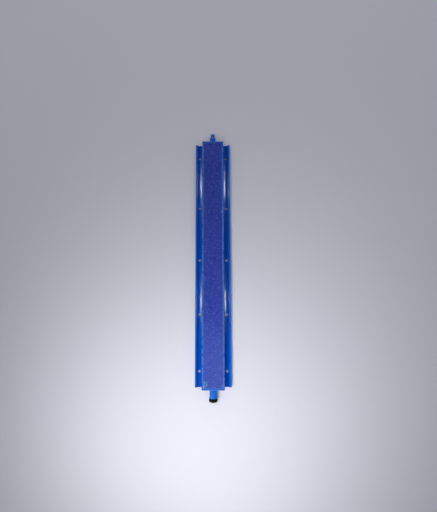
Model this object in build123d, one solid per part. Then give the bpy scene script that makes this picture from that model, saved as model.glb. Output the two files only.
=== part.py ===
from build123d import *
import os

# A submersible air stone bar for an aquarium or pond. A porous mineral bar is bonded into the top of a
# moulded tray, and the tray's hollow under it feeds air to the whole length. Air comes in through the
# tapered nipple at the +Y end. The socket at the -Y end takes the nipple of a second bar, or the rubber
# stopper that closes the line. Millimetres, +Z up, origin at the middle of the tray's flat base.

# Driving dimensions of the tray
box_length = 300.0
box_width = 26.5
wall = 1.8
rim_top = 10.4
floor_thickness = 1.6
box_corner_radius = 0.8
cavity_corner_radius = 0.8

# Side flanges: a trough floor between the wall's root and a raised rounded lip
flange_length = 295.0
overall_width = 42.4
flange_top = 2.2
lip_width = 2.4
lip_top = 5.2
lip_radius = 0.7
lip_root_radius = 0.6
wall_root_radius = 0.5
base_edge_radius = 0.5
rim_outer_radius = 0.4
rim_inner_radius = 0.2

# Fixing holes, in pairs along the flanges
hole_diameter = 3.2
hole_spacing = 32.5
hole_pitch = 65.0
hole_pairs = 5
hole_edge_chamfer = 0.15

# Shallow ejector-pin marks in the base
pin_mark_diameter = 5.0
pin_mark_depth = 0.15
pin_mark_spacing = 14.0
pin_mark_pitch = 80.0
pin_mark_pairs = 4

# Air gallery under the mineral bar
gallery_top = 6.0
ledge_width = 1.4
rest_diameter = 3.0
rest_pitch = 60.0
rest_count = 5

# Air line, common to the nipple, the socket and the stopper
line_height = 4.95
passage_diameter = 1.8

nipple_root_diameter = 7.0
nipple_tip_diameter = 5.0
nipple_root_length = 5.3
nipple_cone_length = 2.9
nipple_tip_length = 3.6
nipple_tip_radius = 1.5
nipple_shoulder_radius = 0.5
nipple_root_fillet = 0.4

socket_diameter = 8.7
socket_length = 9.7
socket_bore_diameter = 6.0
socket_bore_depth = 8.2
socket_mouth_chamfer = 0.3
socket_root_fillet = 0.4
socket_edge_radius = 0.3

# Rubber stopper
stopper_head_diameter = 9.8
stopper_head_length = 4.7
stopper_dome_height = 1.7
stopper_dome_edge_radius = 0.8
stopper_inner_radius = 0.4
stopper_stem_length = 7.0
stopper_stem_chamfer = 0.8
stopper_clearance = 0.05

# Mineral bar and the adhesive round it
stone_gap = 0.25
stone_top = 10.3
stone_chamfer = 0.6
stone_corner_radius = 1.0
bead_bottom = 9.0
bead_top = 10.2

# Worked out from the driving dimensions
box_half = box_width / 2
end_face = box_length / 2
lip_inner = overall_width / 2 - lip_width
cavity_width = box_width - 2 * wall
cavity_length = box_length - 2 * wall


def slab(width, length, corner_radius, low, high):
    """A plate with rounded corners between two heights."""
    outline = RectangleRounded(width, length, corner_radius)
    return Pos(0, 0, low) * extrude(outline, high - low)


def turned(outline):
    """A solid of revolution on the air line, from an outline of radius against place along Y."""
    return Pos(0, 0, line_height) * revolve(make_face(outline), Axis.Y)


def turned_steps(*corners):
    """A solid of revolution on the air line whose outline has straight sides only."""
    return turned(Polyline(*corners, close=True))


def circle_edges(solid, radius, place):
    """The edges round the air line with this radius, at this place along Y."""
    rings = solid.edges().filter_by(GeomType.CIRCLE)
    return rings.filter_by(
        lambda ring: abs(ring.radius - radius) < 0.01 and abs(ring.arc_center.Y - place) < 0.01
    )


def flange_section():
    """Half of the tray's cross-section across its length, with the trough and the lip."""
    base_corner = (overall_width / 2, 0)
    lip_outer_edge = (overall_width / 2, lip_top)
    lip_inner_edge = (lip_inner, lip_top)
    lip_root = (lip_inner, flange_top)
    wall_root = (box_half, flange_top)
    outline = Polyline(
        (0, 0), base_corner, lip_outer_edge, lip_inner_edge, lip_root, wall_root,
        (box_half, rim_top), (0, rim_top), close=True,
    )
    radii = {
        base_corner: base_edge_radius,
        lip_outer_edge: lip_radius,
        lip_inner_edge: lip_radius,
        lip_root: lip_root_radius,
        wall_root: wall_root_radius,
    }
    section = make_face(outline)
    for corner, radius in radii.items():
        at_corner = section.vertices().sort_by_distance((corner[0], corner[1], 0))[0]
        section = fillet(at_corner, radius)
    return section


def flanges():
    """Both flanges and the core between them, cut square at their ends."""
    run = extrude(Plane.XZ * flange_section(), flange_length / 2, both=True)
    return run + mirror(run, Plane.YZ)


def fixing_holes():
    """The pairs of through holes in the trough floors, with their top edges broken."""
    sink_radius = hole_diameter / 2 + hole_edge_chamfer
    drill = Cylinder(hole_diameter / 2, 4 * flange_top)
    sink = Cone(hole_diameter / 2 - hole_edge_chamfer, sink_radius, 2 * hole_edge_chamfer)
    sink = Pos(0, 0, flange_top) * sink
    return [place * (drill + sink) for place in GridLocations(hole_spacing, hole_pitch, 2, hole_pairs)]


def pin_marks():
    """The shallow round marks that the mould's ejector pins leave in the base."""
    mark = Cylinder(pin_mark_diameter / 2, 2 * pin_mark_depth)
    return [place * mark for place in GridLocations(pin_mark_spacing, pin_mark_pitch, 2, pin_mark_pairs)]


def rim_edges(solid, outer):
    """The top edges of the box's four rims, on their outer or their inner side."""
    middle_x = box_half - wall / 2
    middle_y = end_face - wall / 2
    top = solid.edges().filter_by_position(Axis.Z, rim_top - 0.01, rim_top + 0.01)
    return top.filter_by(
        lambda edge: (abs(edge.center().X) > middle_x or abs(edge.center().Y) > middle_y) == outer
    )


def nipple():
    """The air inlet: a tapered spigot for soft airline tube, still without its passage."""
    root_end = end_face + nipple_root_length
    cone_end = root_end + nipple_cone_length
    tip_end = cone_end + nipple_tip_length
    body = turned_steps(
        (0, end_face - wall), (nipple_root_diameter / 2, end_face - wall),
        (nipple_root_diameter / 2, root_end), (nipple_tip_diameter / 2, cone_end),
        (nipple_tip_diameter / 2, tip_end), (0, tip_end),
    )
    body = fillet(circle_edges(body, nipple_tip_diameter / 2, tip_end), nipple_tip_radius)
    return fillet(circle_edges(body, nipple_root_diameter / 2, root_end), nipple_shoulder_radius)


def socket():
    """The outlet socket's tube, still without its bore."""
    mouth = -end_face - socket_length
    tube = turned_steps(
        (0, wall - end_face), (socket_diameter / 2, wall - end_face),
        (socket_diameter / 2, mouth), (0, mouth),
    )
    return fillet(circle_edges(tube, socket_diameter / 2, mouth), socket_edge_radius)


def air_line():
    """What is drilled on the air line: both passages into the gallery and the socket's bore."""
    mouth = end_face + socket_length
    bore_end = mouth - socket_bore_depth
    bore = turned_steps(
        (0, -bore_end), (socket_bore_diameter / 2, -bore_end),
        (socket_bore_diameter / 2, socket_mouth_chamfer - mouth),
        (socket_bore_diameter / 2 + socket_mouth_chamfer, -mouth), (0, -mouth),
    )
    reach = end_face + nipple_root_length + nipple_cone_length + nipple_tip_length
    inlet = turned_steps(
        (0, end_face - 2 * wall), (passage_diameter / 2, end_face - 2 * wall),
        (passage_diameter / 2, reach), (0, reach),
    )
    outlet = turned_steps(
        (0, 2 * wall - end_face), (passage_diameter / 2, 2 * wall - end_face),
        (passage_diameter / 2, -bore_end), (0, -bore_end),
    )
    return [bore, inlet, outlet]


def centre_rests():
    """Posts on the gallery's floor that hold the middle of the mineral bar."""
    height = gallery_top - floor_thickness
    middle = floor_thickness + height / 2
    post = Pos(0, 0, middle) * Cylinder(rest_diameter / 2, height)
    return [place * post for place in GridLocations(1, rest_pitch, 1, rest_count)]


def housing_tray():
    """The one-piece moulding: box, flanges, gallery, nipple and socket."""
    body = slab(box_width, box_length, box_corner_radius, 0, rim_top) + flanges()
    body = body + nipple() + socket()
    nipple_root = circle_edges(body, nipple_root_diameter / 2, end_face)
    body = fillet(nipple_root, nipple_root_fillet)
    socket_root = circle_edges(body, socket_diameter / 2, -end_face)
    body = fillet(socket_root, socket_root_fillet)
    body -= slab(cavity_width, cavity_length, cavity_corner_radius, gallery_top, rim_top)
    body = fillet(rim_edges(body, outer=True), rim_outer_radius)
    body = fillet(rim_edges(body, outer=False), rim_inner_radius)
    gallery_width = cavity_width - 2 * ledge_width
    body -= slab(gallery_width, cavity_length, cavity_corner_radius, floor_thickness, gallery_top)
    body -= fixing_holes()
    body -= pin_marks()
    body -= air_line()
    body += centre_rests()
    return body


def stone_bar():
    """The porous mineral bar, with its top edge broken all round."""
    width = cavity_width - 2 * stone_gap
    length = cavity_length - 2 * stone_gap
    bar = slab(width, length, stone_corner_radius, gallery_top, stone_top)
    return chamfer(bar.faces().sort_by(Axis.Z)[-1].edges(), stone_chamfer)


def sealing_bead(bar):
    """The cured adhesive between the mineral bar's top edge and the tray's walls."""
    fill = slab(cavity_width, cavity_length, cavity_corner_radius, bead_bottom, bead_top)
    return fill - bar


def end_stopper():
    """The push-in rubber stopper: a stem in the socket's bore and a wider head outside."""
    seat = -end_face - socket_length
    head_radius = stopper_head_diameter / 2
    stem_radius = socket_bore_diameter / 2 - stopper_clearance
    head_end = seat - stopper_head_length
    stem_end = seat + stopper_stem_length
    dome_edge = head_end + stopper_dome_height
    dome = TangentArc((0, head_end), (head_radius, dome_edge), tangent=(1, 0))
    sides = Polyline(
        (head_radius, dome_edge), (head_radius, seat), (stem_radius, seat),
        (stem_radius, stem_end), (0, stem_end), (0, head_end),
    )
    plug = turned(dome + sides)
    plug = fillet(circle_edges(plug, head_radius, dome_edge), stopper_dome_edge_radius)
    plug = fillet(circle_edges(plug, head_radius, seat), stopper_inner_radius)
    return chamfer(circle_edges(plug, stem_radius, stem_end), stopper_stem_chamfer)


stone = stone_bar()
parts = {
    "housing_tray": housing_tray(),
    "stone_bar": stone,
    "sealing_bead": sealing_bead(stone),
    "end_stopper": end_stopper(),
}

os.makedirs("parts", exist_ok=True)
for node, shape in parts.items():
    export_step(shape, f"parts/{node}.step")
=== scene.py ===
import bpy
import math
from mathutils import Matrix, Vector


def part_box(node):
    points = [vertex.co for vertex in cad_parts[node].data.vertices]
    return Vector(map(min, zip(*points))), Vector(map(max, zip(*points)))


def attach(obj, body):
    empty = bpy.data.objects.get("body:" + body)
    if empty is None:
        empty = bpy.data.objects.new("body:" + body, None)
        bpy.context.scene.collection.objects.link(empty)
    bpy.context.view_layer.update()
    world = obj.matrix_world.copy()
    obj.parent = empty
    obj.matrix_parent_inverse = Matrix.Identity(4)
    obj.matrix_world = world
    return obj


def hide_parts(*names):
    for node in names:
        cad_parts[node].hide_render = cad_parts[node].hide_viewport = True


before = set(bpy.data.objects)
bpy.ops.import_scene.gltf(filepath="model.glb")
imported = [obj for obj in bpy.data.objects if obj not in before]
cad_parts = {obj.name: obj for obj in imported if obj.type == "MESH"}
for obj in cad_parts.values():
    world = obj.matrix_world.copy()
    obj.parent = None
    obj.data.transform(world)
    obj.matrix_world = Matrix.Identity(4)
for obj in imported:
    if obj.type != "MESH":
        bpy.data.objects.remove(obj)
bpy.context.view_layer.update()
scene = bpy.context.scene
scene.view_settings.view_transform = "Standard"  # keeps the strong blues as they are mixed
mm = 0.001
trayBody = "tray_assembly"
print("frame loaded:", ", ".join(sorted(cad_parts)))


def linearRgb(hexCode):  # sRGB hex to the linear colour that a shader takes
    parts = [int(hexCode[i:i + 2], 16) / 255 for i in (1, 3, 5)]
    return tuple(c / 12.92 if c <= 0.04045 else ((c + 0.055) / 1.055) ** 2.4 for c in parts) + (1.0,)


def addNode(tree, kind, wires=None, **settings):  # a node with its settings and what feeds its inputs
    node = tree.nodes.new(kind)
    for name, value in settings.items():
        setattr(node, name, value)
    for key, value in (wires or {}).items():
        if isinstance(value, bpy.types.NodeSocket):
            tree.links.new(value, node.inputs[key])
        else:
            node.inputs[key].default_value = value
    return node


def startMaterial(name):  # an empty material with its output, and the piece's own coordinates
    material = bpy.data.materials.new(name)
    material.use_nodes = True
    tree = material.node_tree
    tree.nodes.clear()
    output = addNode(tree, "ShaderNodeOutputMaterial")
    place = addNode(tree, "ShaderNodeTexCoord").outputs["Object"]
    return material, tree, output, place


# ---- materials

trayLook = {
    "pigment": "#0663c9",
    "pigmentDeep": "#0559bd",  # where the melt flowed thinner
    "troughShadePainted": "#9cc0e0",  # painted shade: multiplies the colour darker low on the tray, on the troughs' floor between wall and lip and below, where the walls shade it
    "troughShadeTop": 2.4 * mm,
    "troughShadeBlend": 1.8 * mm,
    "paintedRimSheen": "#3a6fbe",  # painted sheen: a pale tint on the rims' top, in patches
    "flowWidth": 22 * mm,
    "flowLength": 120 * mm,
    "sparkGrain": 0.9 * mm,  # the mould's texture is nearer 0.1 mm, drawn coarser so that it shows
    "rimSheenFrom": 0.35 * mm,  # below the rims' top
    "rimSheenEndsAt": 148.2 * mm,  # the painted sheen is weaker on the end rims, which stay darker than the long ones
    "rimSheenEndBlend": 0.4 * mm,
    "roughness": 0.13,
    "wallToStone": 2.05 * mm,  # from the bar's side to the box's outer face
    "sinkWidth": 4.75 * mm,  # the flange skin draws down slightly away from the thick wall
    "sinkDepth": 0.49 * mm,
}


def mouldedAbs():
    # injection-moulded ABS: deep even pigment, semi-gloss skin and faint flow marks, with painted sheen on
    # the rims and painted shade low in the troughs
    material, tree, output, place = startMaterial("mouldedAbs")
    stretched = addNode(tree, "ShaderNodeMapping", {
        "Vector": place,
        "Scale": (1 / trayLook["flowWidth"], 1 / trayLook["flowLength"], 1 / trayLook["flowWidth"]),
    })
    flow = addNode(tree, "ShaderNodeTexNoise", {
        "Vector": stretched.outputs[0], "Scale": 1.0, "Detail": 3.0, "Roughness": 0.55, "Distortion": 0.6,
    })
    pigment = addNode(tree, "ShaderNodeMix", {
        0: flow.outputs["Fac"], 6: linearRgb(trayLook["pigmentDeep"]), 7: linearRgb(trayLook["pigment"]),
    }, data_type="RGBA")
    height = addNode(tree, "ShaderNodeSeparateXYZ", {0: place}).outputs["Z"]
    # painted shade: everything below the web's top is multiplied darker, standing in for the shade the walls
    # throw into the troughs
    inPaintedTroughShade = addNode(tree, "ShaderNodeMapRange", {
        "Value": height, "From Min": trayLook["troughShadeTop"],
        "From Max": trayLook["troughShadeTop"] + trayLook["troughShadeBlend"], "To Min": 1.0, "To Max": 0.0,
    })
    shaded = addNode(tree, "ShaderNodeMix", {
        0: inPaintedTroughShade.outputs[0], 6: pigment.outputs[2], 7: linearRgb(trayLook["troughShadePainted"]),
    }, data_type="RGBA", blend_type="MULTIPLY")
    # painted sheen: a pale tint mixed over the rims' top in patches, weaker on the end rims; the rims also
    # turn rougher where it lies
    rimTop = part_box("housing_tray")[1].z
    onRim = addNode(tree, "ShaderNodeMapRange", {
        "Value": height, "From Min": rimTop - trayLook["rimSheenFrom"], "From Max": rimTop - 0.05 * mm,
    }, interpolation_type="SMOOTHSTEP")
    lengthwise = addNode(tree, "ShaderNodeSeparateXYZ", {0: place}).outputs["Y"]
    fromMiddle = addNode(tree, "ShaderNodeMath", {0: lengthwise}, operation="ABSOLUTE")
    endRimsLessSheen = addNode(tree, "ShaderNodeMapRange", {
        "Value": fromMiddle.outputs[0], "From Min": trayLook["rimSheenEndsAt"],
        "From Max": trayLook["rimSheenEndsAt"] + trayLook["rimSheenEndBlend"], "To Min": 1.0, "To Max": 0.3,
    })
    sheenPatchNoise = addNode(tree, "ShaderNodeTexNoise", {
        "Vector": place, "Scale": 1 / (6 * mm), "Detail": 4.0, "Roughness": 0.6,
    })
    sheenPatches = addNode(tree, "ShaderNodeMapRange", {
        "Value": sheenPatchNoise.outputs["Fac"], "From Min": 0.3, "From Max": 0.62, "To Min": 0.1, "To Max": 0.8,
    })
    patchyRimSheen = addNode(tree, "ShaderNodeMath", {
        0: onRim.outputs[0], 1: sheenPatches.outputs[0],
    }, operation="MULTIPLY")
    paintedRimSheen = addNode(tree, "ShaderNodeMath", {
        0: patchyRimSheen.outputs[0], 1: endRimsLessSheen.outputs[0],
    }, operation="MULTIPLY")
    colour = addNode(tree, "ShaderNodeMix", {
        0: paintedRimSheen.outputs[0], 6: shaded.outputs[2], 7: linearRgb(trayLook["paintedRimSheen"]),
    }, data_type="RGBA")
    roughness = addNode(tree, "ShaderNodeMapRange", {
        "Value": paintedRimSheen.outputs[0], "To Min": trayLook["roughness"], "To Max": 0.5,
    })
    across = addNode(tree, "ShaderNodeSeparateXYZ", {0: place}).outputs["X"]
    outward = addNode(tree, "ShaderNodeMath", {0: across}, operation="ABSOLUTE")
    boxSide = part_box("stone_bar")[1].x + trayLook["wallToStone"]
    sink = addNode(tree, "ShaderNodeMapRange", {
        "Value": outward.outputs[0], "From Min": boxSide, "From Max": boxSide + trayLook["sinkWidth"],
        "To Min": 1.0, "To Max": 0.0,
    })
    sinkCurve = addNode(tree, "ShaderNodeMath", {0: sink.outputs[0], 1: 2.0}, operation="POWER")
    sinkBump = addNode(tree, "ShaderNodeBump", {
        "Height": sinkCurve.outputs[0], "Strength": 1.0, "Distance": trayLook["sinkDepth"],
    })
    grain = addNode(tree, "ShaderNodeTexNoise", {
        "Vector": place, "Scale": 1 / trayLook["sparkGrain"], "Detail": 2.0,
    })
    waves = addNode(tree, "ShaderNodeTexNoise", {
        "Vector": place, "Scale": 1 / (14 * mm), "Detail": 1.0,
    })
    grainBump = addNode(tree, "ShaderNodeBump", {
        "Height": grain.outputs["Fac"], "Strength": 0.12, "Distance": 0.03 * mm,
        "Normal": sinkBump.outputs[0],
    })
    waveBump = addNode(tree, "ShaderNodeBump", {
        "Height": waves.outputs["Fac"], "Strength": 0.5, "Distance": 0.35 * mm,
        "Normal": grainBump.outputs[0],
    })
    skin = addNode(tree, "ShaderNodeBsdfPrincipled", {
        "Base Color": colour.outputs[2], "Roughness": roughness.outputs[0], "Normal": waveBump.outputs[0],
        "IOR": 1.51,
    })
    tree.links.new(skin.outputs[0], output.inputs[0])
    return material


stoneLook = {
    "grit": "#3c4eb4",
    "gritPale": "#5c70d2",
    "gritDark": "#263699",
    "grain": 1.1 * mm,  # real grit is 0.3 to 0.5 mm, drawn coarser so that it shows
    "clump": 2.4 * mm,
    "cloud": 28 * mm,
    "socketEndSheen": "#6f8fd0",  # painted sheen: a pale tint over the socket end of the bar, standing in for a lamp's reflection there
    "sheenFrom": -55 * mm,
    "sheenTo": -118 * mm,
    "sheenShare": 0.15,
}


def bondedGrit():
    # fired mineral grit bonded in a press mould: dead matt, every grain a slightly different blue
    material, tree, output, place = startMaterial("bondedGrit")
    cells = addNode(tree, "ShaderNodeTexVoronoi", {
        "Vector": place, "Scale": 1 / stoneLook["grain"], "Randomness": 1.0,
    })
    cellTone = addNode(tree, "ShaderNodeSeparateColor", {0: cells.outputs["Color"]}).outputs[0]
    clumps = addNode(tree, "ShaderNodeTexNoise", {
        "Vector": place, "Scale": 1 / stoneLook["clump"], "Detail": 3.0, "Roughness": 0.6,
    })
    clouds = addNode(tree, "ShaderNodeTexNoise", {
        "Vector": place, "Scale": 1 / stoneLook["cloud"], "Detail": 2.0,
    })
    grainShare = addNode(tree, "ShaderNodeMath", {0: cellTone, 1: 0.75}, operation="MULTIPLY")
    clumpShare = addNode(tree, "ShaderNodeMath", {
        0: clumps.outputs["Fac"], 1: 0.5, 2: grainShare.outputs[0],
    }, operation="MULTIPLY_ADD")
    tone = addNode(tree, "ShaderNodeMath", {
        0: clouds.outputs["Fac"], 1: 0.35, 2: clumpShare.outputs[0],
    }, operation="MULTIPLY_ADD")
    spread = addNode(tree, "ShaderNodeMapRange", {
        "Value": tone.outputs[0], "From Min": 0.35, "From Max": 1.25,
    })
    darkToMid = addNode(tree, "ShaderNodeMix", {
        0: spread.outputs[0], 6: linearRgb(stoneLook["gritDark"]), 7: linearRgb(stoneLook["grit"]),
    }, data_type="RGBA")
    sparkle = addNode(tree, "ShaderNodeMapRange", {
        "Value": cellTone, "From Min": 0.8, "From Max": 1.0, "To Max": 0.5,
    })
    colour = addNode(tree, "ShaderNodeMix", {
        0: sparkle.outputs[0], 6: darkToMid.outputs[2], 7: linearRgb(stoneLook["gritPale"]),
    }, data_type="RGBA")
    # painted sheen: the grit colour turns paler towards the socket end
    along = addNode(tree, "ShaderNodeSeparateXYZ", {0: place}).outputs["Y"]
    sheenMask = addNode(tree, "ShaderNodeMapRange", {
        "Value": along, "From Min": stoneLook["sheenFrom"], "From Max": stoneLook["sheenTo"],
        "To Max": stoneLook["sheenShare"],
    }, interpolation_type="SMOOTHSTEP")
    withSheen = addNode(tree, "ShaderNodeMix", {
        0: sheenMask.outputs[0], 6: colour.outputs[2], 7: linearRgb(stoneLook["socketEndSheen"]),
    }, data_type="RGBA")
    bump = addNode(tree, "ShaderNodeBump", {
        "Height": cells.outputs["Distance"], "Strength": 0.5, "Distance": 0.2 * mm,
    }, invert=True)
    skin = addNode(tree, "ShaderNodeBsdfPrincipled", {
        "Base Color": withSheen.outputs[2], "Roughness": 0.92, "Normal": bump.outputs[0], "IOR": 1.5,
        "Specular IOR Level": 0.3, "Diffuse Roughness": 0.8,
    })
    tree.links.new(skin.outputs[0], output.inputs[0])
    return material


beadLook = {"cured": "#3c62b4", "curedDeep": "#2c4aa0", "roughness": 0.34}
smearLook = {"cured": "#6f9fc8", "curedDeep": "#5684bc", "roughness": 0.26}


def curedEpoxy(name, look):
    # tinted epoxy cured where it was wiped: smooth, a little cloudy, paler where it is a thin film
    material, tree, output, place = startMaterial(name)
    cloud = addNode(tree, "ShaderNodeTexNoise", {
        "Vector": place, "Scale": 1 / (2.5 * mm), "Detail": 3.0,
    })
    colour = addNode(tree, "ShaderNodeMix", {
        0: cloud.outputs["Fac"], 6: linearRgb(look["curedDeep"]), 7: linearRgb(look["cured"]),
    }, data_type="RGBA")
    bump = addNode(tree, "ShaderNodeBump", {
        "Height": cloud.outputs["Fac"], "Strength": 0.3, "Distance": 0.1 * mm,
    })
    skin = addNode(tree, "ShaderNodeBsdfPrincipled", {
        "Base Color": colour.outputs[2], "Roughness": look["roughness"], "Normal": bump.outputs[0],
        "IOR": 1.55,
    })
    tree.links.new(skin.outputs[0], output.inputs[0])
    return material


rubberLook = {"black": "#080404", "bloom": "#140d0b"}


def mouldedRubber():
    # compression-moulded nitrile rubber: near black, matt, with a faint grey bloom
    material, tree, output, place = startMaterial("mouldedRubber")
    bloom = addNode(tree, "ShaderNodeTexNoise", {
        "Vector": place, "Scale": 1 / (2.2 * mm), "Detail": 4.0,
    })
    patch = addNode(tree, "ShaderNodeMapRange", {
        "Value": bloom.outputs["Fac"], "From Min": 0.45, "From Max": 0.75, "To Max": 0.6,
    })
    colour = addNode(tree, "ShaderNodeMix", {
        0: patch.outputs[0], 6: linearRgb(rubberLook["black"]), 7: linearRgb(rubberLook["bloom"]),
    }, data_type="RGBA")
    grain = addNode(tree, "ShaderNodeTexNoise", {
        "Vector": place, "Scale": 1 / (0.35 * mm), "Detail": 2.0,
    })
    bump = addNode(tree, "ShaderNodeBump", {
        "Height": grain.outputs["Fac"], "Strength": 0.3, "Distance": 0.05 * mm,
    })
    skin = addNode(tree, "ShaderNodeBsdfPrincipled", {
        "Base Color": colour.outputs[2], "Roughness": 0.7, "Normal": bump.outputs[0], "IOR": 1.52,
        "Specular IOR Level": 0.15,
    })
    tree.links.new(skin.outputs[0], output.inputs[0])
    return material


trayPlastic = mouldedAbs()
mineral = bondedGrit()
beadEpoxy = curedEpoxy("curedEpoxyBead", beadLook)
smearEpoxy = curedEpoxy("curedEpoxySmear", smearLook)
rubber = mouldedRubber()
print("materials ready")


def dressNode(node, material):  # a CAD part keeps its shape and takes a better finish
    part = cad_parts[node]
    part.data.materials.clear()
    part.data.materials.append(material)


dressNode("housing_tray", trayPlastic)
dressNode("end_stopper", rubber)

# ---- Geometry Nodes


# a geometry tree with named inputs; gives the tree, what feeds it and its end
def startTree(name, inputs):
    tree = bpy.data.node_groups.new(name, "GeometryNodeTree")
    tree.interface.new_socket("Geometry", in_out="INPUT", socket_type="NodeSocketGeometry")
    for label, kind in inputs.items():
        tree.interface.new_socket(label, in_out="INPUT", socket_type="NodeSocket" + kind)
    tree.interface.new_socket("Geometry", in_out="OUTPUT", socket_type="NodeSocketGeometry")
    return tree, addNode(tree, "NodeGroupInput").outputs, addNode(tree, "NodeGroupOutput")


# the export drops instances, so every tree ends as plain mesh
def endTree(tree, end, geometry, material):
    plain = addNode(tree, "GeometryNodeRealizeInstances", {"Geometry": geometry})
    painted = addNode(tree, "GeometryNodeSetMaterial", {
        "Geometry": plain.outputs[0], "Material": material,
    })
    tree.links.new(painted.outputs[0], end.inputs[0])


def grow(name, tree, values, points=(), edges=()):  # run a tree on a host mesh and keep the result
    seed = bpy.data.meshes.new(name + "Seed")
    seed.from_pydata([tuple(p) for p in points], [tuple(e) for e in edges], [])
    host = bpy.data.objects.new(name + "Host", seed)
    scene.collection.objects.link(host)
    modifier = host.modifiers.new("nodes", "NODES")
    modifier.node_group = tree
    for item in tree.interface.items_tree:
        if item.item_type == "SOCKET" and item.in_out == "INPUT" and item.name in values:
            modifier[item.identifier] = values[item.name]
    bpy.context.view_layer.update()
    mesh = bpy.data.meshes.new_from_object(host.evaluated_get(bpy.context.evaluated_depsgraph_get()))
    bpy.data.objects.remove(host)
    piece = bpy.data.objects.new(name, mesh)
    scene.collection.objects.link(piece)
    print("made", name, len(mesh.polygons), "faces")
    return piece


# ---- mineral bar: pressed grit with rounded shoulders and an uneven top

stoneLow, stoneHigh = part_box("stone_bar")
barShape = {
    "Step": 0.62 * mm,  # spacing of the worked surface
    "Corner": 1.0 * mm,
    "Shoulder": 0.9 * mm,
    "Shoulder Drop": 0.42 * mm,
    "Relief": 0.16 * mm,
    "Grain": 0.8 * mm,
    "Swell": 0.08 * mm,
}


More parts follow.
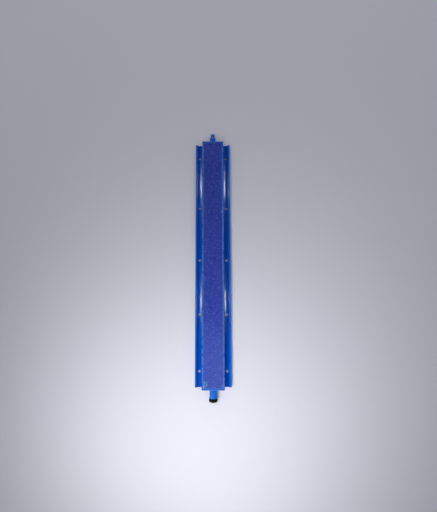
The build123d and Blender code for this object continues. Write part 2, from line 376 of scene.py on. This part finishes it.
def mineralBarTree():
    tree, given, end = startTree("mineralBar", {
        "Size": "Vector", "Centre": "Vector", "Step": "Float", "Corner": "Float", "Shoulder": "Float",
        "Shoulder Drop": "Float", "Relief": "Float", "Grain": "Float", "Swell": "Float",
        "Material": "Material",
    })
    size = addNode(tree, "ShaderNodeSeparateXYZ", {0: given["Size"]}).outputs
    counts = []
    for axis in ("X", "Y"):
        steps = addNode(tree, "ShaderNodeMath", {0: size[axis], 1: given["Step"]}, operation="DIVIDE")
        counts.append(addNode(tree, "FunctionNodeFloatToInt", {0: steps.outputs[0]}).outputs[0])
    block = addNode(tree, "GeometryNodeMeshCube", {
        "Size": given["Size"], "Vertices X": counts[0], "Vertices Y": counts[1], "Vertices Z": 4,
    })
    place = addNode(tree, "GeometryNodeInputPosition").outputs[0]
    flat = addNode(tree, "ShaderNodeVectorMath", {0: place, 1: (1, 1, 0)}, operation="MULTIPLY")
    half = addNode(tree, "ShaderNodeVectorMath", {
        0: given["Size"], 1: (0.5, 0.5, 0),
    }, operation="MULTIPLY")
    corner = addNode(tree, "ShaderNodeCombineXYZ", {0: given["Corner"], 1: given["Corner"]})
    core = addNode(tree, "ShaderNodeVectorMath", {
        0: half.outputs[0], 1: corner.outputs[0],
    }, operation="SUBTRACT")
    minusCore = addNode(tree, "ShaderNodeVectorMath", {
        0: core.outputs[0], 1: (-1, -1, -1),
    }, operation="MULTIPLY")
    lower = addNode(tree, "ShaderNodeVectorMath", {
        0: flat.outputs[0], 1: minusCore.outputs[0],
    }, operation="MAXIMUM")
    inner = addNode(tree, "ShaderNodeVectorMath", {
        0: lower.outputs[0], 1: core.outputs[0],
    }, operation="MINIMUM")
    beyond = addNode(tree, "ShaderNodeVectorMath", {
        0: flat.outputs[0], 1: inner.outputs[0],
    }, operation="SUBTRACT")
    outside = addNode(tree, "ShaderNodeVectorMath", {0: beyond.outputs[0]}, operation="ABSOLUTE")
    parts = addNode(tree, "ShaderNodeSeparateXYZ", {0: outside.outputs[0]}).outputs
    reachOut = addNode(tree, "ShaderNodeMath", {0: parts["X"], 1: parts["Y"]}, operation="MAXIMUM")
    towards = addNode(tree, "ShaderNodeVectorMath", {0: beyond.outputs[0]}, operation="NORMALIZE")
    rounded = addNode(tree, "ShaderNodeVectorMath", {
        0: towards.outputs[0], "Scale": reachOut.outputs[0],
    }, operation="SCALE")
    plan = addNode(tree, "ShaderNodeVectorMath", {
        0: inner.outputs[0], 1: rounded.outputs[0],
    }, operation="ADD")

    # how far inside the edge a point lies, from its own place in the block
    fromEdge = addNode(tree, "ShaderNodeVectorMath", {0: flat.outputs[0]}, operation="ABSOLUTE")
    inset = addNode(tree, "ShaderNodeVectorMath", {
        0: half.outputs[0], 1: fromEdge.outputs[0],
    }, operation="SUBTRACT")
    insets = addNode(tree, "ShaderNodeSeparateXYZ", {0: inset.outputs[0]}).outputs
    nearest = addNode(tree, "ShaderNodeMath", {0: insets["X"], 1: insets["Y"]}, operation="MINIMUM")
    shoulder = addNode(tree, "ShaderNodeMapRange", {
        "Value": nearest.outputs[0], "From Min": 0.0, "From Max": given["Shoulder"],
        "To Min": 1.0, "To Max": 0.0,
    }, interpolation_type="SMOOTHERSTEP")
    drop = addNode(tree, "ShaderNodeMath", {
        0: shoulder.outputs[0], 1: given["Shoulder Drop"],
    }, operation="MULTIPLY")

    perGrain = addNode(tree, "ShaderNodeMath", {0: 1.0, 1: given["Grain"]}, operation="DIVIDE")
    grains = addNode(tree, "ShaderNodeTexVoronoi", {"Vector": place, "Scale": perGrain.outputs[0]})
    pits = addNode(tree, "ShaderNodeMath", {
        0: grains.outputs["Distance"], 1: given["Relief"],
    }, operation="MULTIPLY")
    swells = addNode(tree, "ShaderNodeTexNoise", {"Vector": place, "Scale": 1 / (9 * mm), "Detail": 3.0})
    hollow = addNode(tree, "ShaderNodeMath", {
        0: swells.outputs["Fac"], 1: given["Swell"],
    }, operation="MULTIPLY")
    sunk = addNode(tree, "ShaderNodeMath", {0: pits.outputs[0], 1: hollow.outputs[0]}, operation="ADD")
    lowered = addNode(tree, "ShaderNodeMath", {0: sunk.outputs[0], 1: drop.outputs[0]}, operation="ADD")
    height = addNode(tree, "ShaderNodeSeparateXYZ", {0: place}).outputs["Z"]
    onTop = addNode(tree, "ShaderNodeMapRange", {
        "Value": height, "From Min": 0.0, "From Max": 2.0 * mm,
    })
    fall = addNode(tree, "ShaderNodeMath", {
        0: lowered.outputs[0], 1: onTop.outputs[0],
    }, operation="MULTIPLY")
    level = addNode(tree, "ShaderNodeMath", {0: height, 1: fall.outputs[0]}, operation="SUBTRACT")
    up = addNode(tree, "ShaderNodeCombineXYZ", {2: level.outputs[0]})
    worked = addNode(tree, "ShaderNodeVectorMath", {
        0: plan.outputs[0], 1: up.outputs[0],
    }, operation="ADD")
    placed = addNode(tree, "ShaderNodeVectorMath", {
        0: worked.outputs[0], 1: given["Centre"],
    }, operation="ADD")
    shaped = addNode(tree, "GeometryNodeSetPosition", {
        "Geometry": block.outputs["Mesh"], "Position": placed.outputs[0],
    })
    smooth = addNode(tree, "GeometryNodeSetShadeSmooth", {
        "Geometry": shaped.outputs[0], "Shade Smooth": True,
    })
    endTree(tree, end, smooth.outputs[0], given["Material"])
    return tree


stoneSize = stoneHigh - stoneLow
stoneCentre = (stoneHigh + stoneLow) / 2
mineralBar = grow("mineral_bar", mineralBarTree(), {
    **barShape, "Size": tuple(stoneSize), "Centre": tuple(stoneCentre), "Material": mineral,
})
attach(mineralBar, trayBody)
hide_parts("stone_bar")

# ---- loose-looking grains that stand a little proud of the bar's top

gritShape = {
    "Per Area": 1.25e6,  # grains on a square metre of the top
    "Radius": 0.3 * mm,
    "Smallest": 0.55,
    "Largest": 1.15,
    "Sunk": 0.23 * mm,
    "Seed": 11,
}


def surfaceGritTree():
    tree, given, end = startTree("surfaceGrit", {
        "Width": "Float", "Length": "Float", "Top": "Float", "Per Area": "Float", "Radius": "Float",
        "Smallest": "Float", "Largest": "Float", "Sunk": "Float", "Seed": "Int", "Material": "Material",
    })
    sheet = addNode(tree, "GeometryNodeMeshGrid", {
        "Size X": given["Width"], "Size Y": given["Length"], "Vertices X": 2, "Vertices Y": 2,
    })
    depth = addNode(tree, "ShaderNodeMath", {0: given["Top"], 1: given["Sunk"]}, operation="SUBTRACT")
    lift = addNode(tree, "ShaderNodeCombineXYZ", {2: depth.outputs[0]})
    raised = addNode(tree, "GeometryNodeTransform", {
        "Geometry": sheet.outputs["Mesh"], "Translation": lift.outputs[0],
    })
    spots = addNode(tree, "GeometryNodeDistributePointsOnFaces", {
        "Mesh": raised.outputs[0], "Density": given["Per Area"], "Seed": given["Seed"],
    })
    stone = addNode(tree, "GeometryNodeMeshIcoSphere", {"Radius": given["Radius"], "Subdivisions": 1})
    turn = addNode(tree, "FunctionNodeRandomValue", {
        "Min": (0, 0, 0), "Max": (6.28, 6.28, 6.28), "Seed": given["Seed"],
    }, data_type="FLOAT_VECTOR")
    spread = addNode(tree, "FunctionNodeRandomValue", {"Seed": given["Seed"]}, data_type="FLOAT")
    tree.links.new(given["Smallest"], spread.inputs[2])
    tree.links.new(given["Largest"], spread.inputs[3])
    grains = addNode(tree, "GeometryNodeInstanceOnPoints", {
        "Points": spots.outputs["Points"], "Instance": stone.outputs["Mesh"],
        "Rotation": turn.outputs[0], "Scale": spread.outputs[1],
    })
    endTree(tree, end, grains.outputs[0], given["Material"])
    return tree


grit = grow("surface_grit", surfaceGritTree(), {
    **gritShape, "Width": stoneSize.x - 1.6 * mm, "Length": stoneSize.y - 1.6 * mm,
    "Top": stoneHigh.z - 0.12 * mm, "Material": mineral,
})
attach(grit, trayBody)

# ---- adhesive: the bead round the bar, and what was smeared when it was laid


def adhesiveStringTree():
    tree, given, end = startTree("adhesiveString", {
        "Radius": "Float", "Step": "Float", "Wobble": "Float", "Unevenness": "Float", "Flatness": "Float",
        "Height": "Float", "Material": "Material",
    })
    line = addNode(tree, "GeometryNodeMeshToCurve", {"Mesh": given["Geometry"]})
    even = addNode(tree, "GeometryNodeResampleCurve", {
        "Curve": line.outputs[0], "Length": given["Step"],
    }, mode="LENGTH")
    drift = addNode(tree, "ShaderNodeTexNoise", {"Scale": 1 / (6 * mm), "Detail": 2.0})
    centred = addNode(tree, "ShaderNodeVectorMath", {
        0: drift.outputs["Color"], 1: (0.5, 0.5, 0.5),
    }, operation="SUBTRACT")
    level = addNode(tree, "ShaderNodeVectorMath", {
        0: centred.outputs[0], 1: (1, 1, 0),
    }, operation="MULTIPLY")
    wander = addNode(tree, "ShaderNodeVectorMath", {
        0: level.outputs[0], "Scale": given["Wobble"],
    }, operation="SCALE")
    laid = addNode(tree, "GeometryNodeSetPosition", {
        "Geometry": even.outputs[0], "Offset": wander.outputs[0],
    })
    swell = addNode(tree, "ShaderNodeTexNoise", {"Scale": 1 / (2.6 * mm), "Detail": 3.0})
    least = addNode(tree, "ShaderNodeMath", {0: 1.0, 1: given["Unevenness"]}, operation="SUBTRACT")
    most = addNode(tree, "ShaderNodeMath", {0: 1.0, 1: given["Unevenness"]}, operation="ADD")
    thickness = addNode(tree, "ShaderNodeMapRange", {
        "Value": swell.outputs["Fac"], "From Min": 0.3, "From Max": 0.7,
        "To Min": least.outputs[0], "To Max": most.outputs[0],
    })
    profile = addNode(tree, "GeometryNodeCurvePrimitiveCircle", {
        "Resolution": 8, "Radius": given["Radius"],
    })
    tube = addNode(tree, "GeometryNodeCurveToMesh", {
        "Curve": laid.outputs[0], "Profile Curve": profile.outputs[0], "Scale": thickness.outputs[0],
        "Fill Caps": True,
    })
    squat = addNode(tree, "ShaderNodeCombineXYZ", {0: 1.0, 1: 1.0, 2: given["Flatness"]})
    up = addNode(tree, "ShaderNodeCombineXYZ", {2: given["Height"]})
    settled = addNode(tree, "GeometryNodeTransform", {
        "Geometry": tube.outputs[0], "Translation": up.outputs[0], "Scale": squat.outputs[0],
    })
    smooth = addNode(tree, "GeometryNodeSetShadeSmooth", {
        "Geometry": settled.outputs[0], "Shade Smooth": True,
    })
    endTree(tree, end, smooth.outputs[0], given["Material"])
    return tree


stringTree = adhesiveStringTree()
beadShape = {
    "Radius": 0.34 * mm,
    "Step": 0.9 * mm,
    "Wobble": 0.25 * mm,
    "Unevenness": 0.3,
    "Flatness": 0.62,
    "Height": 10.08 * mm,
}
beadInset = 0.16 * mm  # of the string's middle from the groove's outer edge
beadCorner = 0.9 * mm
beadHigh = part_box("sealing_bead")[1]


def roundedRing(halfWidth, halfLength, radius, perCorner=6):  # a rounded rectangle as points in order
    ring = []
    for quarter, (sx, sy) in enumerate(((1, 1), (-1, 1), (-1, -1), (1, -1))):
        for k in range(perCorner):
            angle = math.pi / 2 * (quarter + k / (perCorner - 1))
            ring.append((sx * (halfWidth - radius) + radius * math.cos(angle),
                         sy * (halfLength - radius) + radius * math.sin(angle), 0.0))
    return ring


ring = roundedRing(beadHigh.x - beadInset, beadHigh.y - beadInset, beadCorner)
bead = grow("adhesive_bead", stringTree, {**beadShape, "Material": beadEpoxy},
            ring, [(i, (i + 1) % len(ring)) for i in range(len(ring))])
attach(bead, trayBody)
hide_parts("sealing_bead")

smearShape = {
    "Radius": 0.5 * mm,
    "Step": 0.35 * mm,
    "Wobble": 0.5 * mm,
    "Unevenness": 0.35,
    "Flatness": 0.2,
    "Height": stoneHigh.z - 0.02 * mm,
}
loopCentre = (-8.95 * mm, -143.3 * mm)
loopHalf = (1.7 * mm, 2.7 * mm)
smearPoints = []
smearEdges = []


def addStroke(points, closed=False):  # one stroke of adhesive in the shared path mesh
    first = len(smearPoints)
    smearPoints.extend(points)
    smearEdges.extend((first + i, first + i + 1) for i in range(len(points) - 1))
    if closed:
        smearEdges.append((first + len(points) - 1, first))


loopTurns = [a * math.tau / 18 for a in range(18)]
addStroke([(loopCentre[0] + loopHalf[0] * math.cos(turn), loopCentre[1] + loopHalf[1] * math.sin(turn), 0)
           for turn in loopTurns], closed=True)
wipedStrokes = (  # in mm, from the loop's tail and the spot beside it to the marks by the rims
    ((-10.2, -145.4), (-10.7, -146.6), (-10.9, -147.8)),
    ((9.6, -144.3), (9.8, -145.0), (9.9, -145.8)),
    ((11.1, 57.4), (11.3, 60.6), (11.15, 63.6)),
    ((-11.2, 137.6), (-11.1, 138.6), (-11.25, 139.4)),
)
for stroke in wipedStrokes:
    addStroke([(x * mm, y * mm, 0) for x, y in stroke])
smears = grow("adhesive_smears", stringTree, {**smearShape, "Material": smearEpoxy},
              smearPoints, smearEdges)
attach(smears, trayBody)

# ---- stage, lights and camera

stageLook = {
    "floor": "#d2d2dc",
    "cameraPlace": (6.64 * mm, -70.2 * mm, 469.9 * mm),
    "cameraTilt": 9.2,  # degrees from straight down, towards the nipple
    "cameraRoll": -0.25,
    "lens": 27.4,
    "sky": "#eef2ff",
    "wallLight": 0.35,
    "ceilingLight": 0.04,
    "backdropLight": 0.6,  # what the camera itself sees behind the floor
    "floorReach": 0.8,
    "floorGap": 0.05 * mm,  # keeps the base and the paper from sharing one plane
}

# place and target in metres, size across and along, watts: a dim ceiling keeps the gloss deep
softboxes = {
    "keyFromNipple": {"place": (0.06, 1.2, 0.64), "target": (0, 0, 0), "size": (0.9, 0.2), "watts": 2.5},
    "fillLeft": {"place": (-0.85, -0.1, 0.6), "target": (0, -0.05, 0), "size": (0.7, 0.4), "watts": 0.4},
    "fillRight": {"place": (0.85, 0.0, 0.6), "target": (0, 0, 0), "size": (0.7, 0.4), "watts": 0.25},
    "fillStopper": {
        "place": (-0.12, -0.4, 0.4), "target": (0, -0.185, 0), "size": (0.3, 0.22), "watts": 0.33,
        "spread": 54,
    },
}

# ceiling tubes that the dished troughs mirror as long streaks
tubes = {
    "row": (463 * mm, 0.0),
    "side": (-0.42, 0.4),
    "size": (0.26, 0.045),
    "height": 1.0,
    "watts": 0.94,
}

floorReach, floorLevel = stageLook["floorReach"], -stageLook["floorGap"]
floorCorners = [(x * floorReach, y * floorReach, floorLevel) for x, y in ((-1, -1), (1, -1), (1, 1), (-1, 1))]
floorMesh = bpy.data.meshes.new("floor")
floorMesh.from_pydata(floorCorners, [], [(0, 1, 2, 3)])
floor = bpy.data.objects.new("floor", floorMesh)
scene.collection.objects.link(floor)
floor.visible_diffuse = False  # the walls' light reaches the base, so the underside can be looked at
floorMaterial, floorTree, floorOutput, _ = startMaterial("paperFloor")
paper = addNode(floorTree, "ShaderNodeBsdfPrincipled", {
    "Base Color": linearRgb(stageLook["floor"]), "Roughness": 0.9, "Specular IOR Level": 0.2,
})
fromBelow = addNode(floorTree, "ShaderNodeNewGeometry").outputs["Backfacing"]
clear = addNode(floorTree, "ShaderNodeBsdfTransparent")
oneSided = addNode(floorTree, "ShaderNodeMixShader", {
    0: fromBelow, 1: paper.outputs[0], 2: clear.outputs[0],
})
floorTree.links.new(oneSided.outputs[0], floorOutput.inputs[0])
floorMesh.materials.append(floorMaterial)

world = bpy.data.worlds.new("studio")
world.use_nodes = True
worldTree = world.node_tree
sky = worldTree.nodes["Background"]
sky.inputs[0].default_value = linearRgb(stageLook["sky"])
direction = addNode(worldTree, "ShaderNodeTexCoord").outputs["Generated"]
rise = addNode(worldTree, "ShaderNodeSeparateXYZ", {0: direction}).outputs["Z"]
ambient = addNode(worldTree, "ShaderNodeMapRange", {  # pale walls under a dim ceiling
    "Value": rise, "From Min": 0.4, "From Max": 0.8,
    "To Min": stageLook["wallLight"], "To Max": stageLook["ceilingLight"],
})
seen = addNode(worldTree, "ShaderNodeLightPath").outputs["Is Camera Ray"]
backdrop = addNode(worldTree, "ShaderNodeMix", {
    0: seen, 2: ambient.outputs[0], 3: stageLook["backdropLight"],
}, data_type="FLOAT")
worldTree.links.new(backdrop.outputs[0], sky.inputs[1])
scene.world = world


def addSoftbox(name, place, target, size, watts, spread=180):  # a rectangular light aimed at a point
    lamp = bpy.data.lights.new(name, "AREA")
    lamp.shape = "RECTANGLE"
    lamp.size, lamp.size_y = size
    lamp.energy = watts
    lamp.spread = math.radians(spread)
    holder = bpy.data.objects.new(name, lamp)
    scene.collection.objects.link(holder)
    holder.visible_camera = False
    holder.location = place
    holder.rotation_euler = (Vector(target) - Vector(place)).to_track_quat("-Z", "Y").to_euler()
    return holder


for name, box in softboxes.items():
    addSoftbox(name, **box)
for row in tubes["row"]:
    for side in tubes["side"]:
        above = (side, row, tubes["height"])
        addSoftbox("tube", above, (side, row, 0), tubes["size"], tubes["watts"])

cameraData = bpy.data.cameras.new("camera")
cameraData.lens = stageLook["lens"]
cameraData.clip_start = 0.01
camera = bpy.data.objects.new("camera", cameraData)
scene.collection.objects.link(camera)
camera.location = stageLook["cameraPlace"]
camera.rotation_euler = (math.radians(stageLook["cameraTilt"]), 0, 0)
camera.rotation_euler.rotate_axis("Z", math.radians(stageLook["cameraRoll"]))
scene.camera = camera
print("stage ready")

bpy.context.view_layer.update()
